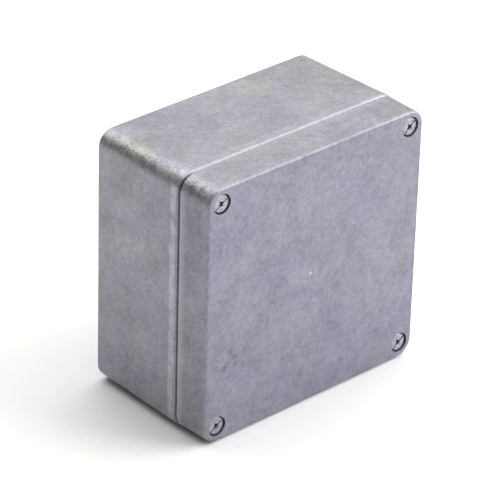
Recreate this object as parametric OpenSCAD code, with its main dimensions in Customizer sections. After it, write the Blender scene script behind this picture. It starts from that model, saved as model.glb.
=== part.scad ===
// Die cast aluminium box with a screwed lid, a cord gasket and captive lid screws.
// It stands on one side wall: the lid faces -Y, the wall-fixing face +Y, and Z is up.
// Each piece is drawn lying on the fixing face (x, y across it, z towards the lid) and then stood up.

/* [Box] */
// Width of the box at its seam
box_w = 160; // [140:1:260]
// Height of the box at its seam
box_h = 160; // [140:1:260]
// Depth of the box from the fixing face to the lid face
box_depth = 92; // [70:1:140]
// Radius of the four corners at the seam
corner_r = 11; // [6:0.5:12]
// Thickness of the box wall at the seam
wall = 5; // [5:0.1:6]
// Thickness of the fixing wall
floor_t = 5; // [3:0.1:8]
// Draft of the box walls, outside and inside, in degrees
box_draft = 1.15; // [0.5:0.05:1.8]
// Rounding of the box edge at the seam
rim_r = 2; // [0.4:0.1:2]
// Rounding of the edge round the fixing face
back_r = 1.5; // [0.4:0.1:3]
// Rounding where the inner walls meet the floor
floor_fillet = 2; // [0.5:0.1:2.5]

/* [Lid] */
// Depth of the lid from the seam to its face
lid_depth = 23; // [20:0.5:32]
// Thickness of the lid face
lid_t = 4; // [2.5:0.1:5]
// Draft of the lid skirt, in degrees
lid_draft = 1.25; // [0.5:0.05:2]
// How far the lid skirt stands inside the box edge
lid_step = 0.4; // [0:0.05:0.8]
// Rounding of the edge round the lid face
face_r = 1.5; // [0.4:0.1:3]
// Height of the shadow gap at the seam
seam_gap = 0.7; // [0.2:0.1:1]
// Depth of the shadow gap at the seam
seam_gap_in = 1.2; // [0.5:0.1:1.4]

/* [Seal] */
// Width of the lip on the box edge
lip_w = 2.2; // [1.6:0.1:2.4]
// Height of the lip on the box edge
lip_h = 2.4; // [1.5:0.1:4]
// Clearance of the lip in the groove of the lid, on each side
lip_clear = 0.4; // [0.35:0.05:0.5]
// Thickness of the gasket
gasket_t = 2.2; // [1.5:0.1:3]
// Clearance of the gasket in its groove, on each side
gasket_clear = 0.1; // [0.05:0.05:0.3]
// Thickness of the rib inside the groove
seal_rib = 2.2; // [1.6:0.1:3]
// Radius of the corners of the chamber
chamber_r = 7; // [7:0.5:9]
// Radius of the inner corner of each corner block
block_r = 6; // [4:0.5:8]

/* [Lid screws] */
// Distance of the lid screws from the outside of the box
screw_inset = 10.5; // [10:0.1:12]
// Thread diameter of the lid screws
screw_d = 6; // [5:0.1:6]
// Diameter of the plain shank above the thread
screw_neck_d = 4.8; // [4:0.1:4.9]
// Length of the lid screws under the head
screw_len = 28; // [28:1:30]
// Diameter of the screw heads
screw_head_d = 10.4; // [9:0.1:10.8]
// Height of the screw heads
screw_head_h = 4.2; // [3.6:0.1:5]
// Depth of the screw heads below the lid face
screw_sunk = 0.8; // [0.3:0.1:1.5]
// Width of the slot in the screw heads
slot_w = 1.5; // [1:0.1:1.8]
// Depth of the slot in the screw heads
slot_depth = 1.7; // [1:0.1:2.4]
// Diameter of the cross recess in the screw heads
cross_d = 5.6; // [4:0.1:6.5]
// Width of the cross recess's wings
cross_w = 1.3; // [0.8:0.1:1.6]
// Depth of the cross recess
cross_depth = 2.8; // [2:0.1:3.2]
// Diameter of the sunk hole round each screw head
sunk_hole_d = 12; // [11.4:0.1:12.6]
// Thickness of the web that each screw clamps
web_t = 4; // [3:0.1:5]
// Diameter of the hole through the web
web_hole_d = 6.4; // [6.2:0.1:6.6]
// Diameter of the bore under the web
web_bore_d = 9; // [8.4:0.1:10]
// Depth of the tapped holes in the box
tapped_depth = 16; // [14:0.5:20]
// Radial clearance of a threaded or plain shank in its hole
shank_clear = 0.05; // [0.02:0.01:0.08]
// Diameter of the retaining rings
ring_d = 8.2; // [7.4:0.1:8.3]
// Thickness of the retaining rings
ring_t = 1.6; // [1:0.1:2]
// Height of the thread's shoulder above the seam
shoulder_up = 0.5; // [0.2:0.1:1]

/* [Wall fixing] */
// Distance between the fixing holes along the height
fixing_pitch = 110; // [108:0.5:112]
// Diameter of the fixing holes
fixing_d = 6.5; // [5:0.1:7]
// Diameter of the channels that lead down to the fixing holes
channel_d = 11; // [10.4:0.1:11.4]
// Thickness of the wall at each fixing hole
fixing_t = 6; // [4:0.5:10]

/* [Inner bosses] */
// Distance between the plate bosses across the box
boss_pitch_w = 100; // [70:1:104]
// Distance between the plate bosses along the height
boss_pitch_h = 120; // [70:1:126]
// Diameter of the plate bosses
boss_d = 10; // [8:0.5:12]
// Height of the plate bosses above the floor
boss_h = 6; // [4:0.5:12]
// Diameter of the tapped holes in the plate bosses
boss_hole_d = 4.2; // [3.3:0.1:4.5]
// Depth of the tapped holes in the plate bosses
boss_hole_depth = 8; // [5:0.5:8]

/* [Earth terminals] */
// Distance of the earth terminals from the box wall
earth_inset = 16; // [16:0.5:20]
// Diameter of the earth bosses
earth_boss_d = 12; // [11:0.5:14]
// Height of the earth bosses
earth_boss_h = 8; // [7:0.5:9]
// Thread diameter of the earth screws
earth_d = 5; // [4:0.5:5]
// Length of the earth screws under the head
earth_len = 10; // [8:0.5:10]
// Diameter of the earth screw heads
earth_head_d = 9; // [7.5:0.5:9.5]
// Height of the earth screw heads
earth_head_h = 3.4; // [3:0.1:4]
// Outer size of the square clamping plates
clamp_w = 11; // [10:0.5:12]
// Thickness of the clamping plates
clamp_t = 1.4; // [1:0.1:2]
// Outer diameter of the toothed washers
washer_d = 9.6; // [9:0.1:11]
// Thickness of the toothed washers
washer_t = 0.9; // [0.6:0.1:1.4]
// Number of teeth on the toothed washers
washer_teeth = 12; // [8:1:16]

/* [Hidden] */

$fn = 64;
arc_steps = 5;       // flats in each rounded corner of the chamber
edge_steps = 4;      // flats in each rounded outer edge
over = 1;            // how far a cut runs past the surface it opens

seam = box_depth - lid_depth;
corner_x = box_w / 2 - corner_r;
corner_y = box_h / 2 - corner_r;

// Chamber, at the seam
chamber_x = box_w / 2 - wall;
chamber_y = box_h / 2 - wall;
groove_in = lip_clear;
groove_out = lip_w + lip_clear;
groove_top = seam + lip_h + gasket_t;

// Lid screws
screw_x = box_w / 2 - screw_inset;
screw_y = box_h / 2 - screw_inset;
ledge = box_depth - screw_sunk - screw_head_h;
web_under = ledge - web_t;
ring_low = seam + shoulder_up;
slot_turns = [33, 40, 33, 36];   // direction of each slot, in degrees from X towards Z
screw_places = [[-screw_x, screw_y], [screw_x, screw_y], [-screw_x, -screw_y], [screw_x, -screw_y]];

// Corner blocks: each holds a lid screw and a fixing channel outside the seal
block_skin = 1.9;    // least metal between the groove and a channel
fixing_y = fixing_pitch / 2;
block_x = screw_x - channel_d / 2 - block_skin - groove_out;
block_y = fixing_y - channel_d / 2 - block_skin - groove_out;

// Earth terminals
earth_base_x = box_w / 2 - earth_inset;
earth_lid_x = -earth_base_x;
earth_hole_depth = earth_len - clamp_t - washer_t + over;
lid_under = box_depth - lid_t;

sheen = [0.68, 0.68, 0.71];
bright = [0.8, 0.8, 0.8];

// ---- shapes ----

function reversed(v) = [for (i = [len(v) - 1 : -1 : 0]) v[i]];

// Point to a thousandth of a millimetre, so that pieces that meet there share it exactly
function snapped(p) = [round(p.x * 1000), round(p.y * 1000)] / 1000;

// Points on an arc about c, from angle a0 to a1
function arc(c, r, a0, a1, steps) =
  [for (i = [0 : steps]) let (t = a0 + (a1 - a0) * i / steps) snapped(c + r * [cos(t), sin(t)])];

// One quarter of the chamber's outline, moved outwards by g
function quarter_outline(g) = concat(
  arc([chamber_x - chamber_r, block_y - chamber_r], chamber_r + g, 0, 90, arc_steps),
  arc([block_x + block_r, block_y + block_r], block_r - g, 270, 180, arc_steps),
  arc([block_x - chamber_r, chamber_y - chamber_r], chamber_r + g, 0, 90, arc_steps)
);

// The chamber's outline: a square with a block taken out of each corner
function outline(g) = let (q = quarter_outline(g)) concat(
  q,
  [for (p = reversed(q)) [-p.x, p.y]],
  [for (p = q) -p],
  [for (p = reversed(q)) [p.x, -p.y]]
);

// Solid through chamber outlines, with [height, offset] at each level, from low to high
module outline_loft(levels) {
  rings = [for (l = levels) [for (p = outline(l[1])) [p.x, p.y, l[0]]]];
  n = len(rings[0]);
  last = len(levels) - 1;
  points = concat([for (ring = rings) each ring], [[0, 0, levels[0][0]], [0, 0, levels[last][0]]]);
  low = n * (last + 1);
  sides = [for (k = [0 : last - 1], j = [0 : n - 1]) let (m = (j + 1) % n)
    [k * n + j, (k + 1) * n + j, (k + 1) * n + m, k * n + m]];
  caps = [for (j = [0 : n - 1]) let (m = (j + 1) % n)
    each [[low, j, m], [low + 1, last * n + m, last * n + j]]];
  polyhedron(points, concat(sides, caps), convexity = 6);
}

// Ring that follows the chamber's outline, from offset g0 out to g1
module outline_ring(g0, g1, z0, z1) {
  translate([0, 0, z0])
    linear_extrude(z1 - z0)
      difference() {
        polygon(outline(g1));
        polygon(outline(g0));
      }
}

// Block with a rounded corner of any section: profile holds [distance from the corner axis, height]
module swept_block(profile) {
  axis_low = profile[0].y;
  axis_high = profile[len(profile) - 1].y;
  for (way = [[corner_x, corner_y, 0], [corner_y, corner_x, 90]])
    rotate([90, 0, way[2]])
      linear_extrude(2 * way[1], center = true)
        polygon(concat(
          [for (p = profile) [way[0] + p.x, p.y]],
          [for (p = reversed(profile)) [-way[0] - p.x, p.y]]
        ));
  for (quarter = [[1, 1, 0], [-1, 1, 90], [-1, -1, 180], [1, -1, 270]])
    translate([quarter[0] * corner_x, quarter[1] * corner_y, 0])
      rotate([0, 0, quarter[2]])
        rotate_extrude(angle = 90)
          polygon(concat([[0, axis_low]], profile, [[0, axis_high]]));
}

// Stands a piece up: the lid side faces -Y
module stood() {
  translate([0, box_depth / 2, box_h / 2])
    rotate([90, 0, 0])
      children();
}

module at_corners(x, y) {
  for (sx = [-1, 1], sy = [-1, 1])
    translate([sx * x, sy * y, 0])
      children();
}

// ---- base ----

function base_profile() = let (
  back = corner_r - (seam - rim_r) * tan(box_draft)
) concat(
  arc([back - back_r, back_r], back_r, 270, 360, edge_steps),
  arc([corner_r - rim_r, seam - rim_r], rim_r, 0, 90, edge_steps)
);

// The chamber narrows towards the floor and is rounded where it meets it
module chamber_cut() {
  low = floor_t;
  side = -(seam - floor_t - floor_fillet) * tan(box_draft);
  rise = floor_fillet * (1 - cos(45));
  outline_loft([
    [low, side - floor_fillet],
    [low + rise, side - rise],
    [low + floor_fillet, side],
    [seam, 0],
    [seam + lip_h + over, 0]
  ]);
}

module base() {
  color(sheen) stood()
    difference() {
      union() {
        difference() {
          union() {
            swept_block(base_profile());
            outline_ring(-over, lip_w, seam - over, seam + lip_h);
          }
          chamber_cut();
        }
        at_corners(boss_pitch_w / 2, boss_pitch_h / 2)
          translate([0, 0, floor_t - over])
            cylinder(h = boss_h + over, d = boss_d);
        translate([earth_base_x, 0, floor_t - over])
          cylinder(h = earth_boss_h + over, d = earth_boss_d);
      }
      at_corners(boss_pitch_w / 2, boss_pitch_h / 2)
        translate([0, 0, floor_t + boss_h - boss_hole_depth])
          cylinder(h = boss_hole_depth + over, d = boss_hole_d);
      translate([earth_base_x, 0, floor_t + earth_boss_h - earth_hole_depth])
        cylinder(h = earth_hole_depth + over, d = earth_d + 2 * shank_clear);
      at_corners(screw_x, screw_y)
        translate([0, 0, seam - tapped_depth])
          cylinder(h = tapped_depth + over, d = screw_d + 2 * shank_clear);
      at_corners(screw_x, fixing_y) {
        translate([0, 0, -over])
          cylinder(h = seam, d = fixing_d);
        translate([0, 0, fixing_t])
          cylinder(h = seam - fixing_t + over, d = channel_d);
      }
    }
}

// ---- lid ----

function lid_profile() = let (
  low = corner_r - lid_step,
  high = low - lid_depth * tan(lid_draft)
) concat(
  [[low - seam_gap_in, seam], [low - seam_gap_in, seam + seam_gap], [low, seam + seam_gap]],
  arc([high - face_r, box_depth - face_r], face_r, 0, 90, edge_steps)
);

module hollow_cut() {
  high = lid_under;
  start = -groove_in - seal_rib;
  side = start - (high - floor_fillet - seam) * tan(box_draft);
  rise = floor_fillet * (1 - cos(45));
  outline_loft([
    [seam - over, start],
    [seam, start],
    [high - floor_fillet, side],
    [high - rise, side - rise],
    [high, side - floor_fillet]
  ]);
}

module lid() {
  high = lid_under;
  color(sheen) stood()
    difference() {
      union() {
        difference() {
          swept_block(lid_profile());
          hollow_cut();
        }
        translate([earth_lid_x, 0, high - earth_boss_h])
          cylinder(h = earth_boss_h + over, d = earth_boss_d);
      }
      outline_ring(-groove_in, groove_out, seam - over, groove_top);
      translate([earth_lid_x, 0, high - earth_boss_h - over])
        cylinder(h = earth_hole_depth + over, d = earth_d + 2 * shank_clear);
      at_corners(screw_x, screw_y) {
        translate([0, 0, ledge])
          cylinder(h = box_depth - ledge + over, d = sunk_hole_d);
        translate([0, 0, web_under - over])
          cylinder(h = web_t + 2 * over, d = web_hole_d);
        translate([0, 0, seam - over])
          cylinder(h = web_under - seam + over, d = web_bore_d);
      }
      at_corners(screw_x, fixing_y)
        translate([0, 0, seam - over])
          cylinder(h = high - seam + over, d = channel_d);
    }
}

module lid_gasket() {
  color("dimgray") stood()
    outline_ring(gasket_clear - groove_in, groove_out - gasket_clear, seam + lip_h, groove_top);
}

// ---- lid screws ----

head_edge = 0.6;     // rounding of the top of a screw head
tip_edge = 0.7;      // chamfer of a screw's end

function screw_profile() = let (
  tip = ledge - screw_len,
  top = ledge + screw_head_h,
  thread = screw_d / 2,
  neck = screw_neck_d / 2,
  head = screw_head_d / 2
) concat(
  [[0, tip], [thread - tip_edge, tip], [thread, tip + tip_edge], [thread, ring_low]],
  [[neck, ring_low], [neck, ledge], [head, ledge]],
  arc([head - head_edge, top - head_edge], head_edge, 0, 90, edge_steps),
  [[0, top]]
);

// Four wings that narrow towards the bottom of the recess
module cross_cut(d, w, depth) {
  slope = d / 4 / depth;
  intersection() {
    for (turn = [0, 90])
      rotate([0, 0, turn])
        translate([-d, -w / 2, -depth])
          cube([2 * d, w, depth + over]);
    translate([0, 0, -depth])
      cylinder(h = depth + over, r1 = d / 4, r2 = d / 2 + slope * over);
  }
}

module lid_screw(i) {
  color(bright) stood()
    translate([screw_places[i].x, screw_places[i].y, 0])
      rotate([0, 0, slot_turns[i]])
        difference() {
          rotate_extrude()
            polygon(screw_profile());
          translate([0, 0, ledge + screw_head_h]) {
            translate([-screw_head_d, -slot_w / 2, -slot_depth])
              cube([2 * screw_head_d, slot_w, slot_depth + over]);
            cross_cut(cross_d, cross_w, cross_depth);
          }
        }
}

// Open ring that snaps round a screw's neck and rests on the thread's shoulder
module screw_ring(i) {
  mouth = screw_neck_d * 0.6;
  color("gainsboro") stood()
    translate([screw_places[i].x, screw_places[i].y, ring_low])
      linear_extrude(ring_t)
        difference() {
          circle(d = ring_d);
          circle(d = screw_neck_d + 2 * shank_clear);
          translate([0, -mouth / 2])
            square([ring_d, mouth]);
        }
}

// ---- earth terminals ----

// Places a terminal's pieces on its boss: z = 0 is the boss face
module on_base_boss() {
  stood()
    translate([earth_base_x, 0, floor_t + earth_boss_h])
      children();
}

module on_lid_boss() {
  stood()
    translate([earth_lid_x, 0, lid_under - earth_boss_h])
      rotate([180, 0, 0])
        children();
}

module earth_clamp() {
  linear_extrude(clamp_t)
    difference() {
      intersection() {
        square(clamp_w, center = true);
        circle(d = clamp_w * 1.25);
      }
      circle(d = earth_d + 4 * shank_clear);
    }
}

module earth_washer() {
  root_d = washer_d - 1.8;
  tooth = PI * root_d / washer_teeth / 2;
  translate([0, 0, clamp_t])
    linear_extrude(washer_t)
      difference() {
        union() {
          circle(d = root_d);
          for (i = [0 : washer_teeth - 1])
            rotate([0, 0, 360 * i / washer_teeth])
              translate([0, -tooth / 2])
                square([washer_d / 2, tooth]);
        }
        circle(d = earth_d + 4 * shank_clear);
      }
}

module earth_screw() {
  under = clamp_t + washer_t;
  top = under + earth_head_h;
  head = earth_head_d / 2;
  shank = earth_d / 2;
  difference() {
    rotate_extrude()
      polygon(concat(
        [[0, under - earth_len], [shank - tip_edge, under - earth_len]],
        [[shank, under - earth_len + tip_edge], [shank, under], [head, under]],
        arc([head - 2 * head_edge, top - 2 * head_edge], 2 * head_edge, 0, 90, edge_steps),
        [[0, top]]
      ));
    translate([0, 0, top])
      cross_cut(earth_head_d * 0.55, cross_w, earth_head_h * 0.6);
  }
}

base();
lid();
lid_gasket();
for (i = [0 : 3]) {
  lid_screw(i);
  screw_ring(i);
}
color(bright) on_base_boss() earth_screw();  // base_earth_screw
color(bright) on_base_boss() earth_washer();  // base_earth_washer
color(bright) on_base_boss() earth_clamp();  // base_earth_clamp
color(bright) on_lid_boss() earth_screw();  // lid_earth_screw
color(bright) on_lid_boss() earth_washer();  // lid_earth_washer
color(bright) on_lid_boss() earth_clamp();  // lid_earth_clamp
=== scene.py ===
"""Looks of a die cast aluminium box with a deep lid, a cord seal and captive corner screws.

Lengths are in millimetres and shapes are drawn lying, on the fixing face, with x and y across it
and z towards the lid. The end of each shape tree stands the shape up and scales it to metres in
the row's frame, where the lid faces -Y and the box stands on Z = 0.
"""

from __future__ import annotations

import logging
import math
from collections.abc import Callable, Mapping, Sequence
from dataclasses import dataclass, fields
from enum import Enum
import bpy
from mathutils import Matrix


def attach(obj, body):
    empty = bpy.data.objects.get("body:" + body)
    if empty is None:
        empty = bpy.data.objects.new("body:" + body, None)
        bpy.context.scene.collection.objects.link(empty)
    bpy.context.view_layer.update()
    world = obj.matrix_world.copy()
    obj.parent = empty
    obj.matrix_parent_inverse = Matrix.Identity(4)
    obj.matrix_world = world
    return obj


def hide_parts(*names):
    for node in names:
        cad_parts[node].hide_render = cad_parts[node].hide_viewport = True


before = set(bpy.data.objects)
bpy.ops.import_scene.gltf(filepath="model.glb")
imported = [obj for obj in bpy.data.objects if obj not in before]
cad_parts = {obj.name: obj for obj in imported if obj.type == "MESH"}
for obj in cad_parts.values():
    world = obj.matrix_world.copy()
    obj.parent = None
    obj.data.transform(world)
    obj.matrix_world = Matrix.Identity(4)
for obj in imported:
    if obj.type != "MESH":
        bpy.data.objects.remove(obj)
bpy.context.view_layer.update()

from types import SimpleNamespace

import bmesh
import bpy
from mathutils import Matrix, Vector

logging.basicConfig(level=logging.INFO, format="%(message)s")
log = logging.getLogger("cast_box")

MM = 0.001
Triple = tuple[float, float, float]
Colour = tuple[float, float, float]
Chain = list[tuple[object, object]]

# Sizes that several pieces share, in millimetres
WIDTH = 160.0
HEIGHT = 160.0
DEPTH = 92.0
SEAM = 69.0
CORNER = 11.0
GAP = 0.7
WALL = 5.0
FLOOR = 5.0
SCREW_AT = 69.5
FIXING_AT = 55.0
LEDGE = 87.0
HEAD_HEIGHT = 4.2
RING_LOW = 69.5
EARTH_AT = 64.0
EARTH_BOSS = 8.0
LID_UNDER = 88.0
LIP = 2.4
GROOVE_TOP = 73.6
SCREW_TURNS = (33.0, 40.0, 33.0, 36.0)
SCREW_SIDES = ((-1, 1), (1, 1), (-1, -1), (1, -1))

# How far a cutting shape reaches past the surface that it opens, and how close points are welded
OVER = 1.0
WELD = 0.0005

# Quarter turns of an arc in a section, in degrees
LOWER = (270, 360)
UPPER = (0, 90)

# Steps in a casting's corner and round a turned shape
CORNER_STEPS = 12
HEAD_STEPS = 64
ROUND_STEPS = 48
THREAD_STEPS = 36
RECESS_STEPS = 32


# ---- node wiring ----------------------------------------------------------------------------


class Amount:
    """A number in a node tree, which plain arithmetic works on."""

    def __init__(self, wiring: Wiring, socket: bpy.types.NodeSocket) -> None:
        """Wraps an output of a tree."""
        self.wiring = wiring
        self.socket = socket

    def __add__(self, other: object) -> Amount:
        """Sum."""
        return self.wiring.math("ADD", self, other)

    __radd__ = __add__

    def __sub__(self, other: object) -> Amount:
        """Difference."""
        return self.wiring.math("SUBTRACT", self, other)

    def __rsub__(self, other: object) -> Amount:
        """Difference from a constant."""
        return self.wiring.math("SUBTRACT", other, self)

    def __mul__(self, other: object) -> Amount:
        """Product."""
        return self.wiring.math("MULTIPLY", self, other)

    __rmul__ = __mul__

    def __truediv__(self, other: object) -> Amount:
        """Quotient."""
        return self.wiring.math("DIVIDE", self, other)

    def __rtruediv__(self, other: object) -> Amount:
        """Quotient of a constant."""
        return self.wiring.math("DIVIDE", other, self)

    def __neg__(self) -> Amount:
        """Opposite."""
        return self.wiring.math("MULTIPLY", self, -1.0)

    def __abs__(self) -> Amount:
        """Distance from zero."""
        return self.wiring.math("ABSOLUTE", self)


class Wiring:
    """Short calls for making nodes in a tree and joining their sockets."""

    def __init__(self, tree: bpy.types.NodeTree) -> None:
        """Starts on the tree that gets the nodes."""
        self.tree = tree

    def node(
        self, kind: str, inputs: Mapping[int | str, object] | None = None, **settings: object
    ) -> bpy.types.Node:
        """Makes a node.

        Args:
            kind: The node's type name.
            inputs: Values or sockets for its inputs, by name or index.
            **settings: Values for the node's own settings.

        Returns:
            The new node.
        """
        made = self.tree.nodes.new(kind)
        for name, value in settings.items():
            setattr(made, name, value)
        for key, value in (inputs or {}).items():
            self.feed(made.inputs[key], value)
        return made

    def feed(self, socket: bpy.types.NodeSocket, value: object) -> None:
        """Joins a socket to an output, or gives it a constant.

        Args:
            socket: The input to fill.
            value: A node, an output, a list of them for a multiple input, or a constant.
        """
        if isinstance(value, list):
            for one in value:
                self.feed(socket, one)
            return
        if isinstance(value, Amount):
            value = value.socket
        if isinstance(value, bpy.types.Node):
            value = value.outputs[0]
        if isinstance(value, bpy.types.NodeSocket):
            self.tree.links.new(value, socket)
        else:
            socket.default_value = value

    def math(self, operation: str, a: object, b: object = 0.0) -> Amount:
        """Result of a Math node with the given operation."""
        return Amount(self, self.node("ShaderNodeMath", {0: a, 1: b}, operation=operation).outputs[0])

    def least(self, a: object, b: object) -> Amount:
        """The smaller of two numbers."""
        return self.math("MINIMUM", a, b)

    def most(self, a: object, b: object) -> Amount:
        """The larger of two numbers."""
        return self.math("MAXIMUM", a, b)

    def ramp(
        self, value: object, low: float, high: float, to_low: float = 0.0, to_high: float = 1.0
    ) -> Amount:
        """A smooth step of a value.

        Args:
            value: The value to map.
            low: Where the step starts.
            high: Where it ends.
            to_low: Result at the start.
            to_high: Result at the end.

        Returns:
            The result.
        """
        inputs = {0: value, 1: low, 2: high, 3: to_low, 4: to_high}
        made = self.node("ShaderNodeMapRange", inputs, interpolation_type="SMOOTHSTEP")
        return Amount(self, made.outputs[0])

    def split(self, vector: object) -> list[Amount]:
        """Parts of a vector."""
        made = self.node("ShaderNodeSeparateXYZ", {0: vector})
        return [Amount(self, output) for output in made.outputs]

    def join(self, x: object, y: object, z: object) -> bpy.types.Node:
        """A vector from its parts."""
        return self.node("ShaderNodeCombineXYZ", {0: x, 1: y, 2: z})

    def scaled(self, vector: object, factor: object) -> bpy.types.NodeSocket:
        """A vector or colour times a factor."""
        made = self.node("ShaderNodeVectorMath", {0: vector, "Scale": factor}, operation="SCALE")
        return made.outputs[0]

    def summed(self, a: object, b: object) -> bpy.types.NodeSocket:
        """Sum of two vectors."""
        return self.node("ShaderNodeVectorMath", {0: a, 1: b}, operation="ADD").outputs[0]


# ---- finishes -------------------------------------------------------------------------------


@dataclass(frozen=True)
class Pattern:
    """A noise pattern.

    Attributes:
        size: Size of its clouds, in millimetres.
        detail: Finer levels that are added.
        shift: Offset of the pattern, in metres.
        roughness: Strength of the finer levels.
        distortion: How far the clouds are warped.
        span: Values that a soft step turns into 0 and 1, or None for the plain noise.
    """

    size: float
    detail: float = 2.0
    shift: Triple = (0, 0, 0)
    roughness: float = 0.5
    distortion: float = 0.0
    span: tuple[float, float] | None = None


class Painter(Wiring):
    """A material's node tree, with the patterns that the finishes share."""

    def __init__(self, name: str) -> None:
        """Makes a material with a Principled shader and Object coordinates.

        Args:
            name: The material's name.
        """
        self.material = bpy.data.materials.new(name)
        self.material.use_nodes = True
        super().__init__(self.material.node_tree)
        self.shader = self.tree.nodes["Principled BSDF"]
        where = self.node("ShaderNodeTexCoord")
        self.place = where.outputs["Object"]
        self.facing = where.outputs["Normal"]

    def noise(self, pattern: Pattern, over: object | None = None) -> Amount:
        """Noise of a given pattern, from 0 to 1.

        Args:
            pattern: The pattern.
            over: Coordinates to use instead of the object's.

        Returns:
            The noise.
        """
        start = self.place if over is None else over
        moved = self.node("ShaderNodeMapping", {"Vector": start, "Location": pattern.shift})
        inputs = {"Vector": moved, "Scale": 1 / (pattern.size * MM), "Detail": pattern.detail}
        inputs.update({"Roughness": pattern.roughness, "Distortion": pattern.distortion})
        plain = Amount(self, self.node("ShaderNodeTexNoise", inputs).outputs["Fac"])
        return self.ramp(plain, *pattern.span) if pattern.span else plain

    def rise(self, value: object, low: float, high: float) -> Amount:
        """Soft step of a length from 0 at low to 1 at high, both in millimetres."""
        return self.ramp(value, low * MM, high * MM)

    def fall(self, value: object, low: float, high: float) -> Amount:
        """Soft step of a length from 1 at low to 0 at high, both in millimetres."""
        return self.ramp(value, low * MM, high * MM, 1.0, 0.0)

    def blend(self, share: object, a: object, b: object) -> bpy.types.NodeSocket:
        """Blend of two colours.

        Args:
            share: How much of b shows.
            a: First colour.
            b: Second colour.

        Returns:
            The colour's socket.
        """
        both = [(*colour, 1.0) if isinstance(colour, tuple) else colour for colour in (a, b)]
        made = self.node("ShaderNodeMix", {0: share, 6: both[0], 7: both[1]}, data_type="RGBA")
        return made.outputs[2]

    def bump(
        self, height: object, distance: float, strength: float, under: object | None = None
    ) -> bpy.types.NodeSocket:
        """A bumped normal.

        Args:
            height: The height, from 0 to 1.
            distance: Height of the relief, in millimetres.
            strength: Strength of the bump.
            under: Normal to bump further.

        Returns:
            The normal's socket.
        """
        inputs = {"Height": height, "Distance": distance * MM, "Strength": strength}
        if under is not None:
            inputs["Normal"] = under
        return self.node("ShaderNodeBump", inputs).outputs[0]

    def finish(
        self,
        colour: object,
        roughness: object,
        normal: object | None,
        metallic: float,
        specular: float = 0.5,
    ) -> bpy.types.Material:
        """Fills the shader.

        Args:
            colour: Base colour.
            roughness: Roughness.
            normal: Bumped normal.
            metallic: Metallic share.
            specular: Specular level.

        Returns:
            The material.
        """
        inputs = {"Base Color": colour, "Roughness": roughness, "Metallic": metallic}
        inputs["Specular IOR Level"] = specular
        if normal is not None:
            inputs["Normal"] = normal
        for name, value in inputs.items():
            self.feed(self.shader.inputs[name], value)
        return self.material


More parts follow.
